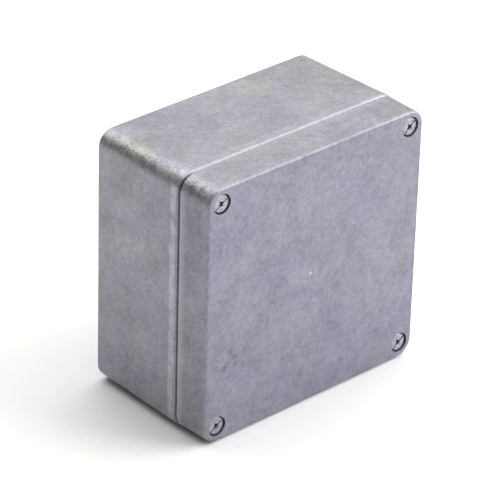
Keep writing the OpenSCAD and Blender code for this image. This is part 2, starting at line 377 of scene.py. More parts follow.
@dataclass(frozen=True)
class CastAluminium:
    """Tumbled die casting: clouded violet and neutral greys with a painted tint of the light by facing, fine
    grain, a linished stripe, wear and a painted highlight on the corners, a painted highlight on top behind
    the seam and painted shade along it.
    """

    grey: Colour = (0.30, 0.296, 0.312)
    violet: Colour = (0.265, 0.256, 0.334)
    straw: Colour = (0.33, 0.32, 0.28)
    pale: Colour = (0.45, 0.446, 0.486)
    bright: Colour = (0.80, 0.80, 0.80)
    worn: Colour = (0.62, 0.62, 0.55)
    smudge: Colour = (0.18, 0.172, 0.21)
    grime: Colour = (0.03, 0.03, 0.034)
    metallic: float = 0.8
    seam: float = DEPTH / 2 - SEAM

    # stripes along the seam: start, end and softness behind it, and how far the linished one wavers; the
    # second is a painted highlight on top and the last two are painted shade in the gap and on the sides
    linished: Triple = (1.9, 7.4, 1.2)
    rim: Triple = (0.1, 2.6, 0.7)
    crevice: Triple = (-GAP - 0.1, 0.12, 0.08)
    soiled: Triple = (-GAP, 1.15, 0.45)
    wave: float = 2.2

    # places of two marks on the lid's face, in metres
    smudge_at: Triple = (-0.060, -0.046, 0.050)
    nick_at: Triple = (-0.003, -0.046, 0.083)

    clouds: Pattern = Pattern(48, 3, distortion=0.6, span=(0.36, 0.66))
    drift: Pattern = Pattern(17, 2, (0.3, 0.1, 0.7), span=(0.3, 0.7))
    stains: Pattern = Pattern(30, 2, (0.9, 0.4, 0.2), span=(0.52, 0.72))
    streaks: Pattern = Pattern(6, 3, (0.4, 0.4, 0.1), 0.6, span=(0.45, 0.65))
    patches: Pattern = Pattern(26, 4, (0.1, 0.8, 0.3), 0.6, span=(0.3, 0.7))
    mottle: Pattern = Pattern(5.5, 2, roughness=0.6)
    dapple: Pattern = Pattern(2.5, 1, (0.7, 0.1, 0.4))
    grain: Pattern = Pattern(1.0, 3, roughness=0.8)
    pits: Pattern = Pattern(0.9, 1, (0.6, 0.2, 0.5))
    waver: Pattern = Pattern(20, 1)
    specks: Pattern = Pattern(1.5, 1, (0.2, 0.2, 0.9))
    blots: Pattern = Pattern(4.2, 2)
    dimples: Pattern = Pattern(1.9, 2, (0.5, 0.5, 0.5), 0.6)
    tooth: Pattern = Pattern(0.8, 2, roughness=0.7)

    def stripe(self, p: Painter, depth: Amount, low: float, high: float, soft: float) -> Amount:
        """Share of a stripe between two distances behind the seam, in millimetres, with soft ends."""
        return p.rise(depth, low, low + soft) * p.fall(depth, high - soft, high)

    def near(self, p: Painter, spot: Triple, core: float, reach: float) -> Amount:
        """Share of a round spot that is full to a radius and gone at another, in millimetres."""
        apart = p.node("ShaderNodeVectorMath", {0: p.place, 1: spot}, operation="DISTANCE")
        return p.fall(apart.outputs["Value"], core, reach)

    def outset(self, p: Painter, x: Amount, z: Amount) -> Amount:
        """Distance from the box's outline at the seam, for places near it.

        Args:
            p: The painter.
            x: Place across the box, in metres.
            z: Place along its height, in metres.

        Returns:
            The distance in metres, negative inside the outline.
        """
        across = p.most(abs(x) - (WIDTH / 2 - CORNER) * MM, 0.0)
        up = p.most(abs(z - HEIGHT / 2 * MM) - (HEIGHT / 2 - CORNER) * MM, 0.0)
        return p.math("SQRT", across * across + up * up) - CORNER * MM

    def material(self) -> bpy.types.Material:
        """The finish as a material.

        Returns:
            The material.
        """
        p = Painter("cast_aluminium")
        x, y, z = p.split(p.place)
        nx, ny, nz = p.split(p.facing)
        depth = y - self.seam * MM
        front = p.ramp(-ny, 0.6, 0.97)
        upward = p.ramp(nz, 0.5, 0.95)

        # broad clouds: cool violet against neutral grey, with a painted tint of the light that makes the
        # front faces more violet and the top less, and faint straw stains on top
        clouds = p.noise(self.clouds)
        colour = p.blend(0.2 + front * 0.35 - upward * 0.1 + clouds * 0.35, self.grey, self.violet)
        stains = p.noise(self.stains) * (0.06 + upward * 0.34)
        colour = p.blend(stains * (1.0 - front), colour, self.straw)

        # a dark smudge low on the lid and a bright nick near the middle of its face
        smudge = self.near(p, self.smudge_at, 4.0, 17.0) * p.noise(self.streaks)
        colour = p.blend(smudge * 0.8, colour, self.smudge)
        colour = p.blend(self.near(p, self.nick_at, 0.5, 1.1) * 0.5, colour, self.bright)

        # tone, from broad patches down to grain and pits, with the front faces painted slightly lighter; the
        # lid is a darker casting than the base
        mottle, dapple, grain = [p.noise(one) - 0.5 for one in (self.mottle, self.dapple, self.grain)]
        pits = p.ramp(p.noise(self.pits), 0.30, 0.42, 1.0, 0.0)
        broad = p.noise(self.patches) * (0.2 - front * 0.07) + p.noise(self.drift) * 0.05
        tone = 0.885 + front * 0.035 + broad + mottle * 0.36 + dapple * 0.42 + grain - pits * 0.12
        colour = p.scaled(colour, tone * p.ramp(depth, -1.0 * MM, 0.0, 0.93, 1.0))

        # a linished stripe behind the seam, a pale band in front of it and a faint painted highlight along
        # the edge behind the seam on top
        outset = self.outset(p, x, z)
        outer = p.rise(outset, -3.5, -2.5)
        waved = depth + (p.noise(self.waver) - 0.5) * (self.wave * MM)
        linish = self.stripe(p, waved, *self.linished) * outer * (0.65 + mottle * 2.4)
        lip = p.rise(depth, -7.0, -0.5) * p.fall(depth, 0.0, 0.2) * outer
        rim = self.stripe(p, depth, *self.rim) * outer * upward
        colour = p.blend(linish * (0.85 - upward * 0.5), colour, self.pale)
        colour = p.blend(lip * (0.55 - upward * 0.4), colour, self.pale)
        colour = p.blend(rim * 0.08, colour, self.bright)

        # painted shade in the shadow gap between the castings, and on the sides just behind it
        inner = p.rise(outset, -2.4, -1.8) * p.fall(outset, -0.7, -0.5)
        crevice = self.stripe(p, depth, *self.crevice) * inner
        sides = p.rise(abs(x), 72.0, 78.0) * (1.0 - upward)
        soiled = self.stripe(p, depth, *self.soiled) * outer * sides
        colour = p.blend(p.most(crevice, soiled * 0.68), colour, self.grime)

        # wear and a painted highlight: pale mottles on the rounded corners
        corner = p.least(nx * nz * nx * nz * 4.0, 1.0)
        speck = p.ramp(p.noise(self.specks) * 0.5 + p.noise(self.blots) * 0.5, 0.43, 0.56)
        colour = p.blend(corner * speck * 0.55, colour, self.worn)

        # roughness varies with clouds and grain; the stripe is smoother, the gap and face edges rougher
        edges = p.rise(abs(y), 44.2, 45.8) * p.rise(outset, -4.5, -2.2)
        rough = 0.42 + clouds * 0.06 - linish * 0.1 + grain * 0.3 + crevice * 0.4 + edges * 0.07
        normal = p.bump(p.noise(self.dimples), 0.12, 0.45)
        return p.finish(colour, rough, p.bump(p.noise(self.tooth), 0.05, 0.7, normal), self.metallic)


@dataclass(frozen=True)
class TurnedSteel:
    """Turned steel: fine rings round the axis of each corner screw, dull in places."""

    name: str = "turned_steel"
    light: Colour = (0.42, 0.415, 0.48)
    dark: Colour = (0.17, 0.17, 0.20)
    metallic: float = 0.85
    roughness: float = 0.3
    head_top: float = DEPTH / 2 - LEDGE - HEAD_HEIGHT
    dull: Pattern = Pattern(1.5, 2, roughness=0.6, span=(0.38, 0.66))
    grain: Pattern = Pattern(0.6, 2)
    rings: Pattern = Pattern(0.3, 1)

    def material(self) -> bpy.types.Material:
        """The finish as a material.

        Returns:
            The material.
        """
        p = Painter(self.name)
        x, y, z = p.split(p.place)
        across = abs(x) - SCREW_AT * MM
        up = abs(z - HEIGHT / 2 * MM) - SCREW_AT * MM
        reach = p.math("SQRT", across * across + up * up)
        dull = p.noise(self.dull)
        colour = p.blend(dull * 0.7, self.light, self.dark)

        # painted shade: the recess in the head is darker towards its bottom
        recess = p.rise(y, self.head_top + 0.1, self.head_top + 1.6) * p.fall(reach, 4.6, 5.0)
        colour = p.scaled(colour, (0.72 + p.noise(self.grain) * 0.56) * (1.0 - recess * 0.6))
        rings = p.noise(self.rings, over=p.join(reach, 0.0, 0.0))
        return p.finish(colour, self.roughness + dull * 0.15, p.bump(rings, 0.02, 0.4), self.metallic)


@dataclass(frozen=True)
class ZincPlate:
    """Blue-white zinc plating with faint iridescent clouds."""

    blue: Colour = (0.62, 0.66, 0.72)
    straw: Colour = (0.70, 0.67, 0.58)
    metallic: float = 0.8
    clouds: Pattern = Pattern(3.5, 2, span=(0.35, 0.7))
    grain: Pattern = Pattern(0.5, 2)
    tooth: Pattern = Pattern(0.8, 2)

    def material(self) -> bpy.types.Material:
        """The finish as a material.

        Returns:
            The material.
        """
        p = Painter("zinc_plate")
        clouds = p.noise(self.clouds)
        colour = p.scaled(p.blend(clouds * 0.6, self.blue, self.straw), 0.9 + p.noise(self.grain) * 0.2)
        return p.finish(colour, 0.3 + clouds * 0.12, p.bump(p.noise(self.tooth), 0.03, 0.3), self.metallic)


@dataclass(frozen=True)
class SealRubber:
    """Black extruded cord rubber with a faint bloom."""

    black: Colour = (0.028, 0.028, 0.030)
    bloom: Colour = (0.09, 0.09, 0.095)
    specular: float = 0.4
    clouds: Pattern = Pattern(7, 3, span=(0.45, 0.75))
    grain: Pattern = Pattern(0.8, 2)
    tooth: Pattern = Pattern(0.6, 2)

    def material(self) -> bpy.types.Material:
        """The finish as a material.

        Returns:
            The material.
        """
        p = Painter("seal_rubber")
        bloom = p.noise(self.clouds)
        colour = p.blend(bloom * 0.5, self.black, self.bloom)
        colour = p.scaled(colour, 0.75 + p.noise(self.grain) * 0.5)
        normal = p.bump(p.noise(self.tooth), 0.03, 0.4)
        return p.finish(colour, 0.55 + bloom * 0.2, normal, 0.0, self.specular)


@dataclass(frozen=True)
class PaleSweep:
    """Matt white paper of the floor, with a barely seen tooth."""

    white: Colour = (0.88, 0.88, 0.88)
    roughness: float = 0.9
    specular: float = 0.2
    tooth: Pattern = Pattern(30, 2)

    def material(self) -> bpy.types.Material:
        """The finish as a material.

        Returns:
            The material.
        """
        p = Painter("pale_sweep")
        colour = p.scaled(self.white, 0.995 + p.noise(self.tooth) * 0.01)
        return p.finish(colour, self.roughness, None, 0.0, self.specular)


# ---- geometry node trees --------------------------------------------------------------------


class PortKind(Enum):
    """Socket types of a tree's inputs."""

    SHAPE = "NodeSocketGeometry"
    SIZE = "NodeSocketFloat"
    COUNT = "NodeSocketInt"
    PLACE = "NodeSocketVector"
    FINISH = "NodeSocketMaterial"


class Axis:
    """Path of a turned shape: its axis, with distances measured straight from it."""

    def __init__(self, tree: ShapeTree, steps: object) -> None:
        """Notes the tree and the number of steps round the axis."""
        self.tree = tree
        self.steps = steps

    def at(self, column: Amount) -> tuple[object, object]:
        """A place on the path, and the outward direction there.

        Args:
            column: Number of the step.

        Returns:
            The place and the direction.
        """
        angle = column * math.tau / self.steps
        outward = self.tree.join(self.tree.math("COSINE", angle), self.tree.math("SINE", angle), 0.0)
        return (0.0, 0.0, 0.0), outward


class Loop:
    """Path along a closed level curve that runs counterclockwise."""

    def __init__(self, tree: ShapeTree, curve: object) -> None:
        """Samples the curve.

        Args:
            tree: The tree that it is in.
            curve: The curve's output.
        """
        self.tree = tree
        self.points = tree.node("GeometryNodeCurveToPoints", {0: curve}, mode="EVALUATED")
        count = tree.node("GeometryNodeAttributeDomainSize", {0: self.points}, component="POINTCLOUD")
        self.steps = Amount(tree, count.outputs["Point Count"])

    def at(self, column: Amount) -> tuple[object, object]:
        """A place on the path, and the outward direction there.

        Args:
            column: Number of the step.

        Returns:
            The place and the direction.
        """
        place = self.tree.sample(self.points, self.tree.node("GeometryNodeInputPosition"), column)
        along = self.tree.sample(self.points, self.points.outputs["Tangent"], column)
        x, y, _ = self.tree.split(along)
        return place, self.tree.join(y, -x, 0.0)


class ShapeTree(Wiring):
    """A geometry tree with named inputs, which ends in Realize Instances and Set Material."""

    def __init__(self, name: str, sizes: object) -> None:
        """Makes the tree with its inputs.

        Args:
            name: The tree's name.
            sizes: A dataclass whose number fields become the inputs.
        """
        super().__init__(bpy.data.node_groups.new(name, "GeometryNodeTree"))
        self.given: dict[str, object] = {"Tilt": 0.0, "Turn": 0.0, "Place": (0.0, 0.0, 0.0)}
        self.tree.interface.new_socket("Geometry", in_out="INPUT", socket_type=PortKind.SHAPE.value)
        kinds = {float: PortKind.SIZE, int: PortKind.COUNT, tuple: PortKind.PLACE}
        labels = {}
        for size in fields(sizes):
            labels[size.name] = size.name.replace("_", " ").capitalize()
            self.given[labels[size.name]] = getattr(sizes, size.name)
        for label, value in self.given.items():
            kind = kinds[type(value)].value
            made = self.tree.interface.new_socket(label, in_out="INPUT", socket_type=kind)
            made.default_value = value
        self.tree.interface.new_socket("Finish", in_out="INPUT", socket_type=PortKind.FINISH.value)
        self.tree.interface.new_socket("Geometry", in_out="OUTPUT", socket_type=PortKind.SHAPE.value)
        self.inputs = self.node("NodeGroupInput").outputs
        named = {name: Amount(self, self.inputs[label]) for name, label in labels.items()}
        self.sizes = SimpleNamespace(**named)
        self.index = Amount(self, self.node("GeometryNodeInputIndex").outputs[0])

    # numbers and fields

    def whole(self, operation: str, a: object, b: object) -> Amount:
        """Result of an Integer Math node with the given operation."""
        made = self.node("FunctionNodeIntegerMath", {0: a, 1: b}, operation=operation)
        return Amount(self, made.outputs[0])

    def pick(self, index: object, choices: Sequence[object]) -> bpy.types.Node:
        """Picks a vector by its number.

        Args:
            index: Number of the choice, from 0.
            choices: The vectors.

        Returns:
            The node that carries the vector.
        """
        made = self.node("GeometryNodeIndexSwitch", {"Index": index}, data_type="VECTOR")
        while len(made.index_switch_items) < len(choices):
            made.index_switch_items.new()
        for place, choice in enumerate(choices, 1):
            self.feed(made.inputs[place], choice)
        return made

    def sample(self, shape: object, value: object, index: object) -> bpy.types.Node:
        """A vector at a numbered point of a shape."""
        inputs = {"Geometry": shape, 1: value, "Index": index}
        return self.node("GeometryNodeSampleIndex", inputs, data_type="FLOAT_VECTOR")

    def arc(
        self, out: object, height: object, radius: object, start: float, end: float, steps: int = 6
    ) -> Chain:
        """Points of an arc in a section, about a centre and between two angles in degrees."""
        angles = [math.radians(start + (end - start) * step / steps) for step in range(steps + 1)]
        return [(out + radius * math.cos(angle), height + radius * math.sin(angle)) for angle in angles]

    # curves

    def rectangle(self, width: object, height: object) -> bpy.types.Node:
        """A rectangular curve about the middle."""
        return self.node("GeometryNodeCurvePrimitiveQuadrilateral", {0: width, 1: height})

    def rounded(self, curve: object, radius: object, steps: int, limited: bool = False) -> bpy.types.Node:
        """A curve with rounded corners, each in the given steps."""
        inputs = {"Curve": curve, "Count": steps, "Radius": radius, "Limit Radius": limited}
        return self.node("GeometryNodeFilletCurve", inputs, mode="POLY")

    def square(self, width: object, height: object, radius: object, steps: int) -> Loop:
        """Path along a rounded square about the middle."""
        return Loop(self, self.rounded(self.rectangle(width, height), radius, steps))

    def chamber(self, steps: int = 8) -> Loop:
        """The chamber's outline: a rounded square with a block taken out of each corner.

        Args:
            steps: Steps in each rounding.

        Returns:
            The path.
        """
        s = self.sizes
        turning = []
        for side_x, side_y in ((1, 1), (-1, 1), (-1, -1), (1, -1)):
            quarter = [(s.chamber_x, s.block_y), (s.block_x, s.block_y), (s.block_x, s.chamber_y)]
            if side_x != side_y:
                quarter.reverse()
            turning += [self.join(x * side_x, y * side_y, 0.0) for x, y in quarter]
        ring = self.node("GeometryNodeCurvePrimitiveCircle", {"Resolution": len(turning)})
        corners = self.pick(self.index, turning)
        bent = self.node("GeometryNodeSetPosition", {"Geometry": ring, "Position": corners})
        radii = (s.chamber_radius, s.block_radius, s.chamber_radius)
        choices = [self.join(radius, 0.0, 0.0) for radius in radii]
        radius, _, _ = self.split(self.pick(self.whole("MODULO", self.index, len(radii)), choices))
        return Loop(self, self.rounded(bent, radius, steps, limited=True))

    # solids

    def skin(
        self, path: Axis | Loop, rows: object, section: Callable[[Amount, Amount], object]
    ) -> bpy.types.Node:
        """A closed skin round a path.

        Args:
            path: The path.
            rows: Number of points in the section.
            section: Gives, for a row and a share of the way round, a vector of the distance
                outwards, a 0 where the point is drawn to the middle, and the height.

        Returns:
            The closed mesh's node.
        """
        around = path.steps + 1 if isinstance(path.steps, Amount) else int(path.steps) + 1
        grid = self.node("GeometryNodeMeshGrid", {"Vertices X": around, "Vertices Y": rows})
        column = self.whole("DIVIDE", self.index, rows)
        row = self.whole("MODULO", self.index, rows)
        out, kept, height = self.split(section(row, column / path.steps))
        base, outward = path.at(self.whole("MODULO", column, path.steps))
        level = self.summed(self.scaled(base, kept), self.scaled(outward, out))
        place = self.summed(level, self.join(0.0, 0.0, height))
        shaped = self.node("GeometryNodeSetPosition", {"Geometry": grid, "Position": place})
        return self.node("GeometryNodeMergeByDistance", {"Geometry": shaped, "Distance": WELD})

    def solid(self, path: Axis | Loop, chain: Chain) -> bpy.types.Node:
        """A solid whose side follows a chain and whose ends are closed to the middle.

        Args:
            path: The path.
            chain: Distance outwards and height of each point, from low to high.

        Returns:
            The closed mesh's node.
        """
        points = [self.join(0.0, 0.0, chain[0][1])]
        points += [self.join(out, 1.0, height) for out, height in chain]
        points += [self.join(0.0, 0.0, chain[-1][1])]
        return self.skin(path, len(points), lambda row, share: self.pick(row, points))

    def ring(self, path: Axis | Loop, chain: Chain) -> bpy.types.Node:
        """A ring whose section is a closed chain.

        Args:
            path: The path.
            chain: Distance outwards and height of each point, counterclockwise.

        Returns:
            The closed mesh's node.
        """
        points = [self.join(out, 1.0, height) for out, height in chain]
        points.append(points[0])
        return self.skin(path, len(points), lambda row, share: self.pick(row, points))

    def band(self, inner: object, outer: object, low: object, high: object, edge: object) -> Chain:
        """A rectangular section with rounded corners.

        Args:
            inner: Distance of its inner side.
            outer: Distance of its outer side.
            low: Height of its underside.
            high: Height of its top.
            edge: Radius of its corners.

        Returns:
            The closed chain.
        """
        chain: Chain = []
        left, right = inner + edge, outer - edge
        bottom, top = low + edge, high - edge
        corners = ((right, bottom), (right, top), (left, top), (left, bottom))
        for turn, (out, height) in enumerate(corners):
            chain += self.arc(out, height, edge, 90 * turn - 90, 90 * turn, 3)
        return chain

    def drum(self, radius: object, low: object, high: object) -> bpy.types.Node:
        """A round pin between two heights."""
        return self.solid(Axis(self, ROUND_STEPS), [(radius, low), (radius, high)])

    def block(self, x: object, y: object, z: object) -> bpy.types.Node:
        """A block of three sizes about the middle."""
        return self.node("GeometryNodeMeshCube", {"Size": self.join(x, y, z)})

    def moved(self, shape: object, x: object = 0.0, z: object = 0.0) -> bpy.types.Node:
        """A shape moved along x and z."""
        return self.node("GeometryNodeTransform", {"Geometry": shape, "Translation": self.join(x, 0.0, z)})

    def at_corners(self, shape: object, x: object, y: object) -> bpy.types.Node:
        """Four of a shape, mirrored about the middle.

        Args:
            shape: The shape.
            x: Distance of each from the middle along x.
            y: Distance of each from the middle along y.

        Returns:
            The node with the four shapes.
        """
        inputs = {"Size X": x * 2, "Size Y": y * 2, "Vertices X": 2, "Vertices Y": 2}
        spots = self.node("GeometryNodeMeshGrid", inputs)
        four = self.node("GeometryNodeInstanceOnPoints", {"Points": spots, "Instance": shape})
        return self.node("GeometryNodeRealizeInstances", {0: four})

    def boolean(self, operation: str, inputs: Mapping[int | str, object]) -> bpy.types.Node:
        """Result of a Boolean on closed meshes."""
        return self.node("GeometryNodeMeshBoolean", inputs, operation=operation, solver="MANIFOLD")

    def joined(self, *shapes: object) -> bpy.types.Node:
        """Union of closed meshes."""
        return self.boolean("UNION", {"Mesh 2": list(shapes)})

    def cut(self, shape: object, *tools: object) -> bpy.types.Node:
        """A closed mesh with others taken out of it."""
        return self.boolean("DIFFERENCE", {"Mesh 1": shape, "Mesh 2": list(tools)})

    # ends

    def turned_to(self, shape: object, euler: object) -> bpy.types.Node:
        """A shape turned by angles about x, y and z."""
        rotation = self.node("FunctionNodeEulerToRotation", {0: euler})
        return self.node("GeometryNodeTransform", {"Geometry": shape, "Rotation": rotation})

    def close(self, shape: object) -> None:
        """Puts the lying shape in its place, stands it up in metres and ends the tree.

        Args:
            shape: The finished shape.
        """
        port = self.inputs
        tilted = self.turned_to(shape, self.join(port["Tilt"], 0.0, port["Turn"]))
        placed = self.node("GeometryNodeTransform", {"Geometry": tilted, "Translation": port["Place"]})
        raised = self.turned_to(placed, (math.pi / 2, 0.0, 0.0))
        middle = (0.0, DEPTH / 2 * MM, HEIGHT / 2 * MM)
        inputs = {"Geometry": raised, "Translation": middle, "Scale": (MM, MM, MM)}
        real = self.node("GeometryNodeRealizeInstances", {0: self.node("GeometryNodeTransform", inputs)})
        dressed = self.node("GeometryNodeSetMaterial", {"Geometry": real, "Material": port["Finish"]})
        self.node("NodeGroupOutput", {0: dressed})

    def make(
        self,
        name: str,
        finish: bpy.types.Material,
        place: Triple = (0.0, 0.0, 0.0),
        turn: float = 0.0,
        tilt: float = 0.0,
    ) -> bpy.types.Object:
        """Evaluates the tree once and keeps the result as a plain mesh.

        Args:
            name: Name of the piece.
            finish: Its material.
            place: Its lying place, in millimetres.
            turn: Its angle about the lying z axis, in degrees.
            tilt: Its angle about the lying x axis, in degrees.

        Returns:
            The piece, at the origin and untransformed.
        """
        piece = bpy.data.objects.new(name, bpy.data.meshes.new(name))
        bpy.context.scene.collection.objects.link(piece)
        run = piece.modifiers.new("Shape", "NODES")
        run.node_group = self.tree
        angles = {"Turn": math.radians(turn), "Tilt": math.radians(tilt)}
        values = {**self.given, **angles, "Place": place, "Finish": finish}
        for port in self.tree.interface.items_tree:
            if port.in_out == "INPUT" and port.name in values:
                run[port.identifier] = values[port.name]
        graph = bpy.context.evaluated_depsgraph_get()
        piece.data = bpy.data.meshes.new_from_object(piece.evaluated_get(graph))
        piece.data.name = name
        piece.modifiers.clear()
        return piece


def soften(piece: bpy.types.Object) -> None:
    """Cleans a piece's mesh, smooths its faces and keeps its sharp edges.

    Args:
        piece: The piece.
    """
    sharp, flat, weld = math.radians(28.0), math.radians(0.1), 1e-7
    work = bmesh.new()
    work.from_mesh(piece.data)
    bmesh.ops.remove_doubles(work, verts=work.verts, dist=weld)
    bmesh.ops.dissolve_limit(work, angle_limit=flat, verts=work.verts, edges=work.edges, delimit={"NORMAL"})
    for face in work.faces:
        face.smooth = True
    for edge in work.edges:
        edge.smooth = edge.is_manifold and edge.calc_face_angle(0.0) < sharp
    work.to_mesh(piece.data)
    work.free()
    even = piece.modifiers.new("Weighted normals", "WEIGHTED_NORMAL")
    even.keep_sharp = True


def enrol(piece: bpy.types.Object, node: str, body: str) -> None:
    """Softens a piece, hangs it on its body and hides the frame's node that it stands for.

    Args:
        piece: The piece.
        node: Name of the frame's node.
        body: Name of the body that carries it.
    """
    soften(piece)
    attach(piece, body)
    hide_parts(node)
    log.info("%s stands for %s on %s, %d faces", piece.name, node, body, len(piece.data.polygons))


# ---- castings -------------------------------------------------------------------------------


@dataclass
class Chamber:
    """Sizes of the chamber's outline, which both castings and the cord follow."""

    chamber_x: float = WIDTH / 2 - WALL
    chamber_y: float = HEIGHT / 2 - WALL
    block_x: float = 59.5
    block_y: float = 45.0
    chamber_radius: float = 7.0
    block_radius: float = 6.0


@dataclass
class Casting(Chamber):
    """Sizes that both castings share."""

    width: float = WIDTH
    height: float = HEIGHT
    seam: float = SEAM
    corner_radius: float = CORNER
    floor_fillet: float = 2.0
    earth_radius: float = 6.0
    earth_height: float = EARTH_BOSS
    earth_hole: float = 2.55
    earth_hole_depth: float = 8.7
    screw_x: float = SCREW_AT
    screw_y: float = SCREW_AT
    fixing_y: float = FIXING_AT
    channel_radius: float = 5.5


@dataclass
class CastBase(Casting):
    """The deep half: four drafted walls, corner blocks, a lip, plate bosses and an earth boss."""

    floor: float = FLOOR
    rim_radius: float = 2.0
    back_radius: float = 1.5
    draft: float = math.radians(1.15)
    lip_width: float = 2.2
    lip_height: float = LIP
    lip_edge: float = 0.3
    boss_x: float = 50.0
    boss_y: float = 60.0
    boss_radius: float = 5.0
    boss_height: float = 6.0
    boss_hole: float = 2.1
    boss_hole_depth: float = 8.0
    earth_x: float = EARTH_AT
    tapped_radius: float = 3.05
    tapped_depth: float = 16.0
    fixing_radius: float = 3.25
    fixing_floor: float = 6.0

    def tree(self) -> ShapeTree:
        """The shape tree of the casting.

        Returns:
            The tree.
        """
        t = ShapeTree("cast_base_shape", self)
        s = t.sizes
        slope = t.math("TANGENT", s.draft)
        back = -(s.seam - s.rim_radius) * slope
        outside = t.solid(
            t.square(s.width, s.height, s.corner_radius, CORNER_STEPS),
            t.arc(back - s.back_radius, s.back_radius, s.back_radius, *LOWER)
            + t.arc(-s.rim_radius, s.seam - s.rim_radius, s.rim_radius, *UPPER, 8),
        )
        path = t.chamber()
        top = s.seam + s.lip_height
        edge = s.lip_edge
        lip = t.ring(
            path,
            [(s.lip_width, s.seam - OVER), (s.lip_width, top - edge), (s.lip_width - edge, top)]
            + [(-OVER, top), (-OVER, s.seam - OVER)],
        )
        side = -(s.seam - s.floor - s.floor_fillet) * slope
        chamber = t.solid(
            path,
            t.arc(side - s.floor_fillet, s.floor + s.floor_fillet, s.floor_fillet, *LOWER)
            + [(0.0, s.seam), (0.0, top - edge), (edge, top), (edge, top + OVER)],
        )
        boss_top = s.floor + s.boss_height
        boss = t.drum(s.boss_radius, s.floor - OVER, boss_top)
        earth_top = s.floor + s.earth_height
        earth = t.moved(t.drum(s.earth_radius, s.floor - OVER, earth_top), s.earth_x)
        hollow = t.cut(t.joined(outside, lip), chamber)
        box = t.joined(hollow, t.at_corners(boss, s.boss_x, s.boss_y), earth)
        boss_hole = t.drum(s.boss_hole, boss_top - s.boss_hole_depth, boss_top + OVER)
        earth_hole = t.drum(s.earth_hole, earth_top - s.earth_hole_depth, earth_top + OVER)
        tapped = t.drum(s.tapped_radius, s.seam - s.tapped_depth, s.seam + OVER)
        fixing = t.drum(s.fixing_radius, -OVER, s.seam)
        channel = t.drum(s.channel_radius, s.fixing_floor, s.seam + OVER)
        t.close(
            t.cut(
                box,
                t.at_corners(boss_hole, s.boss_x, s.boss_y),
                t.moved(earth_hole, s.earth_x),
                t.at_corners(tapped, s.screw_x, s.screw_y),
                t.at_corners(fixing, s.screw_x, s.fixing_y),
                t.at_corners(channel, s.screw_x, s.fixing_y),
            )
        )
        return t

    def build(self, finish: bpy.types.Material) -> None:
        """Builds the casting in the given finish."""
        enrol(self.tree().make("cast_base", finish), "base", "base")


@dataclass
class CastLid(Casting):
    """The deep lid: a drafted skirt, a groove for the seal and stepped screw holes."""

    depth: float = DEPTH
    under: float = LID_UNDER
    step: float = 0.4
    face_radius: float = 1.5
    draft: float = math.radians(1.25)
    box_draft: float = math.radians(1.15)
    gap: float = GAP
    gap_inset: float = 1.2
    groove_inner: float = -0.4
    groove_outer: float = 2.6
    groove_top: float = GROOVE_TOP
    seal_rib: float = 2.2
    earth_x: float = -EARTH_AT
    ledge: float = LEDGE
    web: float = 4.0
    sunk_radius: float = 6.0
    web_hole: float = 3.2
    bore_radius: float = 4.5

    def tree(self) -> ShapeTree:
        """The shape tree of the casting.

        Returns:
            The tree.
        """
        t = ShapeTree("cast_lid_shape", self)
        s = t.sizes
        low = -s.step
        high = low - (s.depth - s.seam) * t.math("TANGENT", s.draft)
        outside = t.solid(
            t.square(s.width, s.height, s.corner_radius, CORNER_STEPS),
            [(low - s.gap_inset, s.seam), (low - s.gap_inset, s.seam + s.gap), (low, s.seam + s.gap)]
            + t.arc(high - s.face_radius, s.depth - s.face_radius, s.face_radius, *UPPER),
        )
        path = t.chamber()
        start = s.groove_inner - s.seal_rib
        side = start - (s.under - s.floor_fillet - s.seam) * t.math("TANGENT", s.box_draft)
        hollow = t.solid(
            path,
            [(start, s.seam - OVER), (start, s.seam)]
            + t.arc(side - s.floor_fillet, s.under - s.floor_fillet, s.floor_fillet, *UPPER),
        )
        face = s.under - s.earth_height
        earth = t.moved(t.drum(s.earth_radius, face, s.under + OVER), s.earth_x)
        groove = t.ring(
            path,
            [(s.groove_outer, s.seam - OVER), (s.groove_outer, s.groove_top)]
            + [(s.groove_inner, s.groove_top), (s.groove_inner, s.seam - OVER)],
        )
        earth_hole = t.drum(s.earth_hole, face - OVER, face - OVER + s.earth_hole_depth)
        web_under = s.ledge - s.web
        sunk = t.drum(s.sunk_radius, s.ledge, s.depth + OVER)
        web_hole = t.drum(s.web_hole, web_under - OVER, s.ledge + OVER)
        bore = t.drum(s.bore_radius, s.seam - OVER, web_under)
        channel = t.drum(s.channel_radius, s.seam - OVER, s.under)
        t.close(
            t.cut(
                t.joined(t.cut(outside, hollow), earth),
                groove,
                t.moved(earth_hole, s.earth_x),
                *[t.at_corners(hole, s.screw_x, s.screw_y) for hole in (sunk, web_hole, bore)],
                t.at_corners(channel, s.screw_x, s.fixing_y),
            )
        )
        return t

    def build(self, finish: bpy.types.Material) -> None:
        """Builds the casting in the given finish."""
        enrol(self.tree().make("cast_lid", finish), "lid", "lid")


@dataclass
class CordSeal(Chamber):
    """Rubber cord that follows the groove in the lid."""

    inner: float = -0.3
    outer: float = 2.5
    low: float = SEAM + LIP
    high: float = GROOVE_TOP
    edge: float = 0.5

    def build(self, finish: bpy.types.Material) -> None:
        """Builds the cord.

        Args:
            finish: The rubber finish.
        """
        t = ShapeTree("cord_seal_shape", self)
        s = t.sizes
        t.close(t.ring(t.chamber(), t.band(s.inner, s.outer, s.low, s.high, s.edge)))
        enrol(t.make("cord_seal", finish), "lid_gasket", "lid")


# ---- screws ---------------------------------------------------------------------------------


